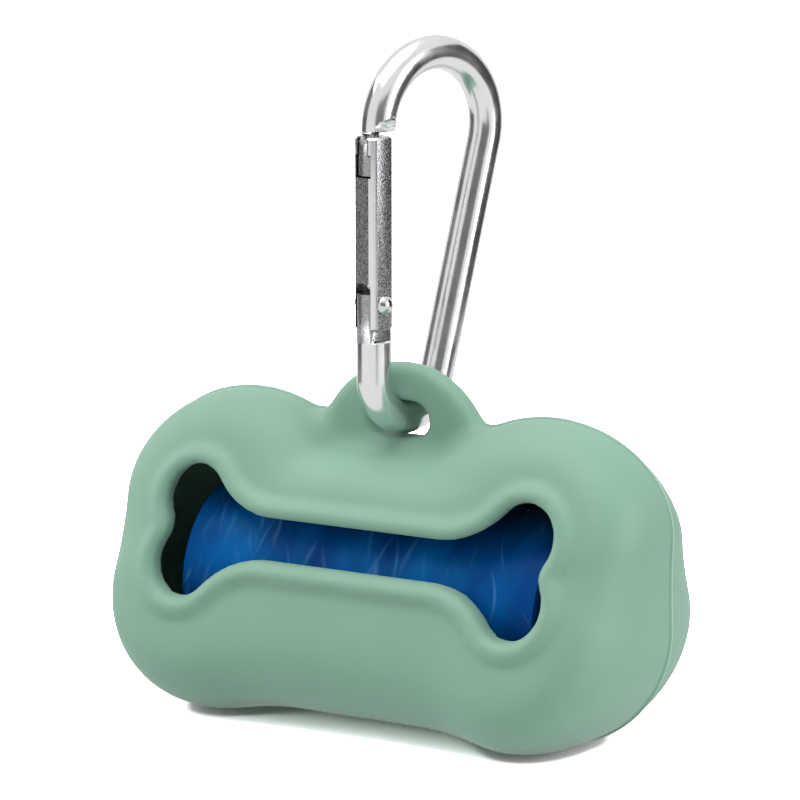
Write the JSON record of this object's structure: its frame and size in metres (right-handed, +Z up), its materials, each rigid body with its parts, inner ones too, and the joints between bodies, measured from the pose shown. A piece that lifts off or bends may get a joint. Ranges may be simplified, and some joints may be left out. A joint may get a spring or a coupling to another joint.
{
  "type": "dog waste bag dispenser",
  "caption": "Bone-shaped soft dispenser for a roll of dog waste bags, with a bone-shaped window and a snap hook on its lug for hanging it on a lead.",
  "frame": {"origin": "on the standing plane, under the middle of the part's overall width and depth", "axes": "+X along the bone, -Y towards the window, +Z up through the lug and the hook"},
  "size_m": [0.0912, 0.0428, 0.1033],
  "materials": {
    "silicone": "matte",
    "bag_film": "crinkled gloss",
    "cardboard": "raw cardboard",
    "hook_rod": "polished with rough cast flats",
    "gate_rod": "polished",
    "small_steel": "satin"
  },
  "bodies": {
    "body": {"silicone_body": "silicone"},
    "roll": {"bag_roll": "bag_film", "roll_core": "cardboard"},
    "hook": {"hook_frame": "hook_rod", "gate_rivet": "small_steel"},
    "gate": {"gate": "gate_rod", "gate_spring": "small_steel"},
    "plunger": {"gate_plunger": "small_steel"}
  },
  "joints": [
    {"name": "roll_spin", "type": "hinge", "parent": "body", "child": "roll", "pos_m": [0, 0.00142, 0.01936], "axis": [1, 0, 0], "continuous": true},
    {"name": "hook_swing", "type": "hinge", "parent": "body", "child": "hook", "pos_m": [0, 0.00172, 0.0465], "axis": [0.1392, 0.9903, 0], "range_deg": [-70, 70]},
    {"name": "gate_hinge", "type": "hinge", "parent": "hook", "child": "gate", "pos_m": [-0.00176, -0.00443, 0.0643], "axis": [-0.9613, 0.2756, 0], "range_deg": [0, 28], "stiffness_Nm_per_rad": 0.02, "springref_deg": -20.05},
    {"name": "plunger_slide", "type": "slide", "parent": "gate", "child": "plunger", "axis": [0, 0, 1], "range_m": [0, 0.0004], "deforming": ["gate_spring"]}
  ],
  "couplings": [
    {"joint": "plunger_slide", "follows": "gate_hinge", "m_per_rad": 0.000775}
  ]
}
